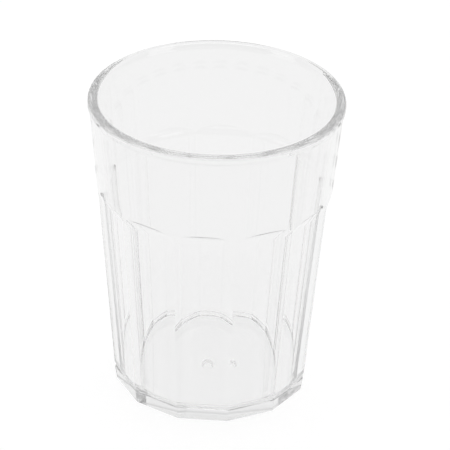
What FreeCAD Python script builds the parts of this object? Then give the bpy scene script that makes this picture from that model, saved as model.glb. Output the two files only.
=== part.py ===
"""Clear plastic tumbler cup, about 76 mm across the rim and 95 mm tall.

The cup is one moulding. Its outside is a plain tapered cone above, and twelve flat
panels below that run out into the cone through a shallow scoop, which gives each
panel an arched top. A narrow groove ends the panels near the base, and a foot of twelve
steeper flats goes on down to the resting face. The inside is round, down to a flat
floor. The rim is a rounded bead, and the mould's gate has left a dimple under the base.

Millimetres, +Z up, origin at the centre of the resting face. A panel faces -Y.
"""

import FreeCAD, Part
import math
import os

import Sketcher

# The sizes of the cup. Each is written once here and goes into the sheet.
SIZES = [
    ("height", 94.6),
    ("rim_diameter", 76.0),
    ("rim_thickness", 3.0),
    ("rim_round", 1.2),
    ("bead_overhang", 0.25),
    ("bead_height", 2.8),
    ("bead_flare_height", 0.8),
    ("cone_base_diameter", 58.8),
    ("panel_count", 12),
    ("panel_corner_depth", 0.15),
    ("panel_height", 63.6),
    ("panel_scoop_radius", 6.0),
    ("groove_height", 4.2),
    ("groove_width", 1.9),
    ("groove_depth", 0.3),
    ("foot_inset", 0.3),
    ("foot_round", 0.5),
    ("wall_thickness", 1.8),
    ("floor_height", 4.5),
    ("floor_round", 1.2),
    ("gate_dimple_depth", 1.4),
    ("gate_dimple_diameter", 6.0),
]

document = FreeCAD.newDocument("TumblerCup")


def make_sheet():
    """Write every size into the sheet under its own name."""
    sheet = document.addObject("Spreadsheet::Sheet", "Sizes")
    for row, (name, value) in enumerate(SIZES, start=1):
        sheet.set(f"A{row}", name)
        sheet.set(f"B{row}", str(value))
        sheet.setAlias(f"B{row}", name)
    document.recompute()


def cone_radius(height):
    """Formula of the plain cone's radius at a height, itself a formula."""
    base = "Sizes.cone_base_diameter / 2"
    rim = "(Sizes.rim_diameter / 2 - Sizes.bead_overhang)"
    return f"({base} + ({rim} - {base}) * ({height}) / Sizes.height)"


def panel_reach(height):
    """Formula of the distance from the axis to the middle of a flat panel at a height."""
    corner = f"({cone_radius(height)} - Sizes.panel_corner_depth)"
    return f"({corner} * cos(180 / Sizes.panel_count))"


def origin_feature(body, role):
    """Return one of the body's own planes or axes."""
    for feature in body.Origin.OriginFeatures:
        if feature.Role == role:
            return feature
    raise RuntimeError(f"the body has no {role}")


def draw_outline(body, name, corners, arcs=None):
    """Draw a closed outline on the body's XZ plane, driven by the sheet.

    Each corner is its name, a rough place to draw it at, and the formulas of its distance
    from the axis and its height, which then put it in its true place. The edge that
    leaves a corner is straight, or an arc where arcs gives the corner's name a point that
    the arc is drawn through and the formula of its radius.
    """
    arcs = arcs or {}
    sketch = body.newObject("Sketcher::SketchObject", name)
    sketch.AttachmentSupport = [(origin_feature(body, "XZ_Plane"), "")]
    sketch.MapMode = "FlatFace"

    drawn = []
    for index, (corner, place, _, _) in enumerate(corners):
        start = FreeCAD.Vector(*place, 0)
        end = FreeCAD.Vector(*corners[(index + 1) % len(corners)][1], 0)
        if corner in arcs:
            through, _ = arcs[corner]
            edge = Part.Arc(start, FreeCAD.Vector(*through, 0), end)
        else:
            edge = Part.LineSegment(start, end)
        number = sketch.addGeometry(edge)
        first = 1 if sketch.getPoint(number, 1).distanceToPoint(start) < 1e-6 else 2
        drawn.append((number, first, 3 - first))

    for index, (corner, _, reach, rise) in enumerate(corners):
        edge, first, last = drawn[index]
        following, following_first, _ = drawn[(index + 1) % len(drawn)]
        sketch.addConstraint(
            Sketcher.Constraint("Coincident", edge, last, following, following_first)
        )
        place_corner(sketch, edge, first, corner, reach, rise)
        if corner in arcs:
            size = sketch.Geometry[edge].Radius
            bind(sketch, ("Radius", edge, size), f"{corner}_radius", arcs[corner][1])
    return sketch


def place_corner(sketch, edge, end, name, reach, rise):
    """Put a corner on the axis or the base line, or set its distance from them."""
    point = sketch.getPoint(edge, end)
    if reach == "0":
        sketch.addConstraint(Sketcher.Constraint("PointOnObject", edge, end, -2))
    else:
        bind(sketch, ("DistanceX", -1, 1, edge, end, point.x), f"{name}_reach", reach)
    if rise == "0":
        sketch.addConstraint(Sketcher.Constraint("PointOnObject", edge, end, -1))
    else:
        bind(sketch, ("DistanceY", -1, 1, edge, end, point.y), f"{name}_rise", rise)


def bind(sketch, constraint, name, formula):
    """Add a named dimension that the sheet drives."""
    index = sketch.addConstraint(Sketcher.Constraint(*constraint))
    sketch.renameConstraint(index, name)
    sketch.setExpression(f"Constraints.{name}", formula)


def make_blank(body):
    """Turn the solid outside of the cup: the tapered cone with the bead at its rim."""
    bead_low = "Sizes.height - Sizes.bead_height"
    bead_full = f"{bead_low} + Sizes.bead_flare_height"
    rim_radius = "Sizes.rim_diameter / 2"
    corners = [
        ("base_centre", (0, 0), "0", "0"),
        ("base_edge", (29, 0), "Sizes.cone_base_diameter / 2", "0"),
        ("bead_low", (37, 90), cone_radius(bead_low), bead_low),
        ("bead_full", (38, 91), rim_radius, bead_full),
        ("rim_edge", (38, 95), rim_radius, "Sizes.height"),
        ("rim_centre", (0, 95), "0", "Sizes.height"),
    ]
    sketch = draw_outline(body, "BlankOutline", corners)
    blank = body.newObject("PartDesign::Revolution", "Blank")
    blank.Profile = sketch
    blank.ReferenceAxis = (sketch, ["V_Axis"])
    blank.Angle = 360
    finish(body, blank, 0.0)


def cut_panels(body):
    """Cut the flat panel, its scoop, the groove and the foot's flat, and repeat them around."""
    groove_top = "(Sizes.groove_height + Sizes.groove_width)"
    groove_radius = (
        "(Sizes.groove_width ^ 2 / 4 + Sizes.groove_depth ^ 2) / (2 * Sizes.groove_depth)"
    )
    lean = f"atan({panel_reach('1')} - {panel_reach('0')})"
    scoop_reach = f"{panel_reach('Sizes.panel_height')} + Sizes.panel_scoop_radius * cos({lean})"
    scoop_rise = f"Sizes.panel_height + Sizes.panel_scoop_radius * (1 - sin({lean}))"
    outside = "Sizes.rim_diameter / 2 + Sizes.panel_scoop_radius"
    corners = [
        ("foot_low", (28, 0), f"{panel_reach('0')} - Sizes.foot_inset", "0"),
        ("foot_top", (29, 4), panel_reach("Sizes.groove_height"), "Sizes.groove_height"),
        ("groove_top", (29, 6), panel_reach(groove_top), groove_top),
        ("scoop_start", (34, 62), panel_reach("Sizes.panel_height"), "Sizes.panel_height"),
        ("scoop_end", (40, 68), scoop_reach, scoop_rise),
        ("outside_top", (44, 68), outside, scoop_rise),
        ("outside_low", (44, 0), outside, "0"),
    ]
    arcs = {
        "foot_top": ((28.5, 5), groove_radius),
        "scoop_start": ((36, 66), "Sizes.panel_scoop_radius"),
    }
    sketch = draw_outline(body, "PanelOutline", corners, arcs)
    before = body.Shape.Volume
    panel = body.newObject("PartDesign::Pocket", "Panel")
    panel.Profile = sketch
    panel.SideType = "Symmetric"
    panel.setExpression("Length", "Sizes.rim_diameter / 2")
    finish(body, panel, before)

    before = body.Shape.Volume
    panels = body.newObject("PartDesign::PolarPattern", "Panels")
    panels.Originals = [panel]
    panels.Axis = (origin_feature(body, "Z_Axis"), [""])
    panels.Angle = 360
    panels.setExpression("Occurrences", "Sizes.panel_count")
    finish(body, panels, before)


def cut_inside(body):
    """Turn out the round inside, down to the floor."""
    floor_reach = f"{panel_reach('Sizes.floor_height')} - Sizes.wall_thickness"
    mouth_reach = "Sizes.rim_diameter / 2 - Sizes.rim_thickness"
    corners = [
        ("floor_centre", (0, 4), "0", "Sizes.floor_height"),
        ("floor_edge", (27, 4), floor_reach, "Sizes.floor_height"),
        ("mouth_edge", (35, 95), mouth_reach, "Sizes.height"),
        ("mouth_centre", (0, 95), "0", "Sizes.height"),
    ]
    turn_out(body, "Inside", draw_outline(body, "InsideOutline", corners))


def cut_gate_dimple(body):
    """Turn out the round dimple that the mould's gate leaves in the middle of the base."""
    radius = (
        "((Sizes.gate_dimple_diameter / 2) ^ 2 + Sizes.gate_dimple_depth ^ 2)"
        " / (2 * Sizes.gate_dimple_depth)"
    )
    corners = [
        ("dimple_centre", (0, 0), "0", "0"),
        ("dimple_edge", (3, 0), "Sizes.gate_dimple_diameter / 2", "0"),
        ("dimple_top", (0, 1.4), "0", "Sizes.gate_dimple_depth"),
    ]
    arcs = {"dimple_edge": ((1.6, 1.06), radius)}
    turn_out(body, "GateDimple", draw_outline(body, "GateDimpleOutline", corners, arcs))


def turn_out(body, name, sketch):
    """Cut the body with an outline turned all the way round the axis."""
    before = body.Shape.Volume
    groove = body.newObject("PartDesign::Groove", name)
    groove.Profile = sketch
    groove.ReferenceAxis = (sketch, ["V_Axis"])
    groove.Angle = 360
    finish(body, groove, before)


def finish(body, feature, before):
    """Make a feature the end of the body, and check that it changed the solid."""
    body.Tip = feature
    document.recompute()
    if feature.Shape.isNull():
        raise RuntimeError(f"{feature.Name} has no shape")
    change = feature.Shape.Volume - before
    print(f"{feature.Name}: {change:+.1f} mm3")
    if abs(change) < 0.1:
        raise RuntimeError(f"{feature.Name} changed nothing")


def edges_at(body, height, curve):
    """Return the names of the body's edges of one kind that lie at one height."""
    names = []
    for number, edge in enumerate(body.Shape.Edges, start=1):
        box = edge.BoundBox
        level = abs(box.ZMin - height) < 1e-4 and abs(box.ZMax - height) < 1e-4
        if level and isinstance(edge.Curve, curve):
            names.append(f"Edge{number}")
    return names


def round_edges(body, name, radius, height, curve):
    """Round the body's edges of one kind at one height."""
    before = body.Shape.Volume
    base = body.Tip
    feature = body.newObject("PartDesign::Fillet", name)
    feature.Base = (base, edges_at(body, height, curve))
    feature.setExpression("Radius", radius)
    finish(body, feature, before)


make_sheet()
tumbler = document.addObject("PartDesign::Body", "Tumbler")
tumbler.Label = "tumbler"
make_blank(tumbler)
cut_panels(tumbler)
cut_inside(tumbler)
cut_gate_dimple(tumbler)
sizes = document.Sizes
round_edges(tumbler, "FloorRound", "Sizes.floor_round", sizes.floor_height, Part.Circle)
round_edges(tumbler, "RimRound", "Sizes.rim_round", sizes.height, Part.Circle)
round_edges(tumbler, "FootRound", "Sizes.foot_round", 0.0, Part.Line)
tumbler.Placement = FreeCAD.Placement()
document.recompute()

for item in document.Objects:
    if "Invalid" in item.State or "Error" in item.State:
        raise RuntimeError(f"{item.Name} failed: {item.State}")
if tumbler.Shape.isNull() or not tumbler.Shape.isValid() or len(tumbler.Shape.Solids) != 1:
    raise RuntimeError("the tumbler is not one valid solid")

os.makedirs("parts", exist_ok=True)
tumbler.Shape.exportStep(f"parts/{tumbler.Label}.step")
print(f"volume {tumbler.Shape.Volume:.1f} mm3, box {tumbler.Shape.BoundBox}")
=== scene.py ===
"""Finish and studio for a clear plastic tumbler: an add-on that is run as a script."""

from math import radians

import bpy
from bpy.props import FloatProperty, FloatVectorProperty, PointerProperty
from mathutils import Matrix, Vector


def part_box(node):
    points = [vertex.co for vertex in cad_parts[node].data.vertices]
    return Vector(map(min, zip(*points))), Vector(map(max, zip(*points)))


bl_info = {
    "name": "Clear Plastic Tumbler",
    "version": (1, 0, 0),
    "blender": (4, 5, 0),
    "location": "View3D > Sidebar > Tumbler",
    "description": "Clear moulded plastic for a panelled tumbler, and its pale studio",
    "category": "Object",
}

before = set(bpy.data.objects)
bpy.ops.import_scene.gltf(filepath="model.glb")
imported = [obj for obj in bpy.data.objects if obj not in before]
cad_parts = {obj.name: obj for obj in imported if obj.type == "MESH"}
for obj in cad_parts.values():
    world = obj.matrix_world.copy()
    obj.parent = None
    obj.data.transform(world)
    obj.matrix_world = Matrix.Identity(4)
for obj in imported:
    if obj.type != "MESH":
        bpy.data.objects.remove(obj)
CUP = "tumbler"
CUP_LOW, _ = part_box(CUP)
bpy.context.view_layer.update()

# The plastic. Lengths are in metres.
RIPPLE_STRETCH = 4  # a ripple is this many times as long, up the wall, as it is wide
SCUFF_PATCH = 0.025  # about the width of a scuffed patch
SCUFF_RANGE = (0.45, 0.75)  # the part of the noise over which the scuffing grows
LAMP_TINT = "#F7F7F7"  # what the wall leaves of the lamps' light on the floor

# The room, by the parts of a direction that has a length of 1.
SWEEP_BACK = (-0.3, 0.4)  # the sweep grows from the first Y to the second
SWEEP_RISE = (0.05, 0.35)  # and from the first Z to the second
HORIZON_SHARE = 0.15  # the share of the sweep that is left down at the horizon

# The floor lies a hair under the cup, so that the two faces never coincide.
FLOOR_GAP = 0.00005

# Name, width, place, and turn in degrees of each softbox. No turn shines straight down.
OVERHEAD_SOFTBOX = ("Overhead softbox", 0.8, (0.0, 0.1, 1.3), (0, 0, 0))
SIDE_SOFTBOXES = (
    ("Left softbox", 0.5, (-0.9, -0.5, 0.7), (60, 0, -61)),
    ("Right softbox", 0.5, (0.9, -0.5, 0.7), (60, 0, 61)),
)

# Light runs round the rim and along the floor by this many inner reflections.
INNER_BOUNCES = 64

# The photo's camera, fitted to the outlines of the rim and the foot.
CAMERA_PLACE = (0.06925, -0.89995, 0.56338)
CAMERA_TURN = (60.4337, -1.226, 4.8892)
CAMERA_LENS = 277.6
CAMERA_SENSOR = 36.0
CAMERA_RANGE = (0.01, 20.0)


def srgb(hex_colour):
    """Turn a colour written as #RRGGBB into the linear values that Blender works in."""
    parts = [int(hex_colour[start:start + 2], 16) / 255 for start in (1, 3, 5)]
    return tuple(
        part / 12.92 if part <= 0.04045 else ((part + 0.055) / 1.055) ** 2.4
        for part in parts
    )


def add_node(tree, kind, settings=None, links=None):
    """Add a node, set its properties and inputs, and link what feeds it.

    A setting is a property of the node if it has one of that name, and otherwise the
    value of an input. A link runs from a (node, output) pair into an input. Inputs and
    outputs go by name, or by number where the node has several of one name.
    """
    node = tree.nodes.new(kind)
    for key, value in (settings or {}).items():
        if isinstance(key, str) and hasattr(node, key):
            setattr(node, key, value)
        else:
            node.inputs[key].default_value = value
    for key, (source, output) in (links or {}).items():
        tree.links.new(source.outputs[output], node.inputs[key])
    return node


def empty_tree(owner):
    """Give a material or a world a node tree with nothing in it."""
    owner.use_nodes = True
    owner.node_tree.nodes.clear()
    return owner.node_tree


class TumblerPlastic(bpy.types.PropertyGroup):
    """What a maker would choose for the cup's plastic and its polish."""

    tint: FloatVectorProperty(
        name="Tint",
        description="Colour of the plastic where the light passes through one wall",
        subtype="COLOR",
        min=0.0,
        max=1.0,
        default=srgb("#FDFDFD"),
    )
    depth_tint: FloatVectorProperty(
        name="Depth tint",
        description="Colour that thick plastic, seen along the wall, tends to",
        subtype="COLOR",
        min=0.0,
        max=1.0,
        default=srgb("#BCBCBC"),
    )
    depth_density: FloatProperty(
        name="Depth density",
        description="How fast the plastic takes on its depth tint, per metre",
        min=0.0,
        default=4.5,
    )
    refraction: FloatProperty(
        name="Refractive index",
        description="Refractive index of clear styrene-acrylonitrile",
        min=1.0,
        default=1.57,
    )
    polish: FloatProperty(
        name="Polish",
        description="Roughness that the mould's polish leaves",
        subtype="FACTOR",
        min=0.0,
        max=1.0,
        default=0.015,
    )
    scuffing: FloatProperty(
        name="Scuffing",
        description="Extra roughness where the cup was handled and stacked",
        subtype="FACTOR",
        min=0.0,
        max=1.0,
        default=0.02,
    )
    ripple_width: FloatProperty(
        name="Ripple width",
        description="Width of the faint ripples that moulding leaves in the wall",
        subtype="DISTANCE",
        unit="LENGTH",
        min=0.001,
        default=0.009,
    )
    ripple_depth: FloatProperty(
        name="Ripple depth",
        description="Depth of those ripples",
        subtype="DISTANCE",
        unit="LENGTH",
        min=0.0,
        precision=6,
        default=0.000004,
    )


class TumblerStudio(bpy.types.PropertyGroup):
    """The floor and the light that the cup is shown with."""

    floor_colour: FloatVectorProperty(
        name="Floor colour",
        description="Colour that the lamps find on the floor, which carries the shadow",
        subtype="COLOR",
        min=0.0,
        max=1.0,
        default=srgb("#7C7C7C"),
    )
    floor_glow: FloatProperty(
        name="Floor white",
        description="White that the floor shows to the eye and in reflections",
        min=0.0,
        default=0.85,
    )
    floor_through: FloatProperty(
        name="Floor through the cup",
        description="Greyer white that the floor shows through the clear wall",
        min=0.0,
        default=0.75,
    )
    floor_size: FloatProperty(
        name="Floor size",
        description="Width and length of the floor",
        subtype="DISTANCE",
        unit="LENGTH",
        min=0.5,
        default=14.0,
    )
    room_dim: FloatVectorProperty(
        name="Room",
        description="Light of the room in front of the cup and down at its horizon",
        subtype="COLOR",
        min=0.0,
        max=1.0,
        default=srgb("#AAAAAA"),
    )
    room_lit: FloatVectorProperty(
        name="Sweep",
        description="Light of the white sweep that rises behind the cup",
        subtype="COLOR",
        min=0.0,
        max=1.0,
        default=srgb("#FAFAFA"),
    )
    overhead_power: FloatProperty(
        name="Overhead softbox",
        description="Power of the softbox above the cup",
        subtype="POWER",
        unit="POWER",
        min=0.0,
        default=3.0,
    )
    side_power: FloatProperty(
        name="Side softboxes",
        description="Power of each softbox beside the cup",
        subtype="POWER",
        unit="POWER",
        min=0.0,
        default=0.8,
    )


def clear_plastic(settings):
    """Injection-moulded clear styrene-acrylonitrile, polished, with its faint faults.

    Its high refractive index gives the dark and bright lines along the panels' edges. A
    pale tint dulls the white behind it a little, and the rim and the floor's edge, which
    are seen along the plastic, go grey with depth. Slight ripples from the mould bend
    the lines, and light scuffing breaks the gloss.
    """
    material = bpy.data.materials.new("Injection-moulded clear SAN")
    tree = empty_tree(material)
    place = add_node(tree, "ShaderNodeTexCoord")

    # Ripples run up the wall, longer than they are wide.
    across = 1.0 / settings.ripple_width
    ripple_place = add_node(
        tree,
        "ShaderNodeMapping",
        {"Scale": (across, across, across / RIPPLE_STRETCH)},
        {"Vector": (place, "Object")},
    )
    ripples = add_node(
        tree,
        "ShaderNodeTexNoise",
        {"Scale": 1.0, "Detail": 1.0, "Roughness": 0.4},
        {"Vector": (ripple_place, "Vector")},
    )
    surface = add_node(
        tree,
        "ShaderNodeBump",
        {"Strength": 1.0, "Distance": settings.ripple_depth},
        {"Height": (ripples, "Fac")},
    )

    # Scuffing comes in soft patches.
    scuff_patches = add_node(
        tree,
        "ShaderNodeTexNoise",
        {"Scale": 1.0 / SCUFF_PATCH, "Detail": 4.0, "Roughness": 0.6},
        {"Vector": (place, "Object")},
    )
    scuffed = add_node(
        tree,
        "ShaderNodeMapRange",
        {
            "From Min": SCUFF_RANGE[0],
            "From Max": SCUFF_RANGE[1],
            "To Min": settings.polish,
            "To Max": settings.polish + settings.scuffing,
        },
        {"Value": (scuff_patches, "Fac")},
    )

    plastic = add_node(
        tree,
        "ShaderNodeBsdfPrincipled",
        {
            "Base Color": (*settings.tint, 1.0),
            "IOR": settings.refraction,
            "Transmission Weight": 1.0,
        },
        {"Roughness": (scuffed, "Result"), "Normal": (surface, "Normal")},
    )

    # Lamps reach the floor through the clear wall, so that the shadow stays pale.
    lamp_way = add_node(
        tree,
        "ShaderNodeBsdfTransparent",
        {"Color": (*srgb(LAMP_TINT), 1.0)},
    )
    rays = add_node(tree, "ShaderNodeLightPath")
    seen = add_node(
        tree,
        "ShaderNodeMixShader",
        links={0: (rays, "Is Shadow Ray"), 1: (plastic, "BSDF"), 2: (lamp_way, "BSDF")},
    )

    depth = add_node(
        tree,
        "ShaderNodeVolumeAbsorption",
        {"Color": (*settings.depth_tint, 1.0), "Density": settings.depth_density},
    )
    add_node(
        tree,
        "ShaderNodeOutputMaterial",
        links={"Surface": (seen, "Shader"), "Volume": (depth, "Volume")},
    )
    return material


def floor_paint(settings):
    """Matt white studio floor: it keeps a pale shadow and shows white to the eye."""
    material = bpy.data.materials.new("Matt white studio floor")
    tree = empty_tree(material)
    matt = add_node(
        tree,
        "ShaderNodeBsdfDiffuse",
        {"Color": (*settings.floor_colour, 1.0)},
    )

    # The white shows to the eye and in reflections, a little less of it through the cup,
    # and it lights nothing.
    rays = add_node(tree, "ShaderNodeLightPath")
    eye_or_gloss = add_node(
        tree,
        "ShaderNodeMath",
        {"operation": "MAXIMUM"},
        {0: (rays, "Is Camera Ray"), 1: (rays, "Is Glossy Ray")},
    )
    looked_at = add_node(
        tree,
        "ShaderNodeMath",
        {"operation": "MAXIMUM"},
        {0: (eye_or_gloss, "Value"), 1: (rays, "Is Transmission Ray")},
    )
    level = add_node(
        tree,
        "ShaderNodeMapRange",
        {"To Min": settings.floor_glow, "To Max": settings.floor_through},
        {"Value": (rays, "Is Transmission Ray")},
    )
    amount = add_node(
        tree,
        "ShaderNodeMath",
        {"operation": "MULTIPLY"},
        {0: (looked_at, "Value"), 1: (level, "Result")},
    )
    white = add_node(tree, "ShaderNodeEmission", links={"Strength": (amount, "Value")})
    both = add_node(
        tree,
        "ShaderNodeAddShader",
        links={0: (matt, "BSDF"), 1: (white, "Emission")},
    )
    add_node(tree, "ShaderNodeOutputMaterial", links={"Surface": (both, "Shader")})
    return material


def studio_room(settings):
    """Light the scene with a plain grey room and a white sweep behind the cup.

    The band of the foot shows the sweep and is light, and the rim, the panels' arches
    and their edges show the greyer room as dark lines.
    """
    world = bpy.data.worlds.new("Pale studio room")
    tree = empty_tree(world)
    direction = add_node(tree, "ShaderNodeTexCoord")
    axes = add_node(
        tree,
        "ShaderNodeSeparateXYZ",
        links={"Vector": (direction, "Generated")},
    )
    backward = add_node(
        tree,
        "ShaderNodeMapRange",
        {"From Min": SWEEP_BACK[0], "From Max": SWEEP_BACK[1]},
        {"Value": (axes, "Y")},
    )
    upward = add_node(
        tree,
        "ShaderNodeMapRange",
        {
            "From Min": SWEEP_RISE[0],
            "From Max": SWEEP_RISE[1],
            "To Min": HORIZON_SHARE,
        },
        {"Value": (axes, "Z")},
    )
    sweep = add_node(
        tree,
        "ShaderNodeMath",
        {"operation": "MULTIPLY"},
        {0: (backward, "Result"), 1: (upward, "Result")},
    )

    # In a mix of colours, inputs 6 and 7 are the two colours, and output 2 is the mix.
    dim, lit = (*settings.room_dim, 1.0), (*settings.room_lit, 1.0)
    room = add_node(
        tree,
        "ShaderNodeMix",
        {"data_type": "RGBA", 6: dim, 7: lit},
        {0: (sweep, "Value")},
    )
    light = add_node(tree, "ShaderNodeBackground", links={"Color": (room, 2)})
    add_node(tree, "ShaderNodeOutputWorld", links={"Surface": (light, "Background")})
    return world


def hang_softbox(name, size, place, turn, power):
    """Hang a square softbox in its place and turn it towards the cup."""
    lamp = bpy.data.lights.new(name, "AREA")
    lamp.size = size
    lamp.energy = power
    box = bpy.data.objects.new(name, lamp)
    box.location = place
    box.rotation_euler = tuple(radians(angle) for angle in turn)
    bpy.context.scene.collection.objects.link(box)


class TUMBLER_OT_plastic(bpy.types.Operator):
    """Give the cup its clear plastic"""

    bl_idname = "tumbler.plastic"
    bl_label = "Finish the cup in clear plastic"

    def execute(self, context):
        cup = bpy.data.objects[CUP]
        material = clear_plastic(context.scene.tumbler_plastic)
        if not cup.material_slots:
            raise RuntimeError("the cup has no material slot")
        for slot in cup.material_slots:
            slot.material = material
        return {"FINISHED"}


class TUMBLER_OT_studio(bpy.types.Operator):
    """Set up the floor, the room, the softboxes and the camera"""

    bl_idname = "tumbler.studio"
    bl_label = "Set up the pale studio"

    def execute(self, context):
        scene = context.scene
        settings = scene.tumbler_studio
        self.lay_floor(settings)
        scene.world = studio_room(settings)
        hang_softbox(*OVERHEAD_SOFTBOX, settings.overhead_power)
        for side_softbox in SIDE_SOFTBOXES:
            hang_softbox(*side_softbox, settings.side_power)
        self.place_camera(scene)
        self.let_light_run(scene)
        scene.view_settings.view_transform = "Standard"
        return {"FINISHED"}

    def lay_floor(self, settings):
        """Lay the square floor under the cup."""
        half = settings.floor_size / 2
        level = CUP_LOW[2] - FLOOR_GAP
        mesh = bpy.data.meshes.new("Studio floor")
        corners = [(-half, -half), (half, -half), (half, half), (-half, half)]
        mesh.from_pydata([(x, y, level) for x, y in corners], [], [(0, 1, 2, 3)])
        floor = bpy.data.objects.new("Studio floor", mesh)
        mesh.materials.append(floor_paint(settings))
        bpy.context.scene.collection.objects.link(floor)

    def let_light_run(self, scene):
        """Follow light through the thick rim and floor, black where it is cut short."""
        scene.cycles.max_bounces = INNER_BOUNCES
        scene.cycles.transmission_bounces = INNER_BOUNCES
        scene.cycles.glossy_bounces = INNER_BOUNCES

    def place_camera(self, scene):
        """Look down on the cup at 30 degrees through a long lens from about a metre."""
        lens = bpy.data.cameras.new("Camera")
        lens.sensor_width = CAMERA_SENSOR
        lens.lens = CAMERA_LENS
        lens.clip_start, lens.clip_end = CAMERA_RANGE
        camera = bpy.data.objects.new("Camera", lens)
        camera.location = CAMERA_PLACE
        camera.rotation_euler = tuple(radians(angle) for angle in CAMERA_TURN)
        scene.collection.objects.link(camera)
        scene.camera = camera


class TUMBLER_PT_sidebar(bpy.types.Panel):
    """List the tumbler's finish and its studio"""

    bl_label = "Clear plastic tumbler"
    bl_idname = "TUMBLER_PT_sidebar"
    bl_space_type = "VIEW_3D"
    bl_region_type = "UI"
    bl_category = "Tumbler"

    def draw(self, context):
        layout = self.layout
        parts = (
            ("Plastic", context.scene.tumbler_plastic, TUMBLER_OT_plastic),
            ("Studio", context.scene.tumbler_studio, TUMBLER_OT_studio),
        )
        for heading, settings, operator in parts:
            box = layout.box()
            box.label(text=heading)
            for name in settings.__annotations__:
                box.prop(settings, name)
            box.operator(operator.bl_idname)


CLASSES = (
    TumblerPlastic,
    TumblerStudio,
    TUMBLER_OT_plastic,
    TUMBLER_OT_studio,
    TUMBLER_PT_sidebar,
)


def register():
    for item in CLASSES:
        bpy.utils.register_class(item)
    bpy.types.Scene.tumbler_plastic = PointerProperty(type=TumblerPlastic)
    bpy.types.Scene.tumbler_studio = PointerProperty(type=TumblerStudio)


def unregister():
    del bpy.types.Scene.tumbler_studio
    del bpy.types.Scene.tumbler_plastic
    for item in reversed(CLASSES):
        bpy.utils.unregister_class(item)


def main():
    """Finish the cup and set up the studio."""
    register()
    bpy.ops.tumbler.plastic()
    bpy.ops.tumbler.studio()


if __name__ == "__main__":
    main()
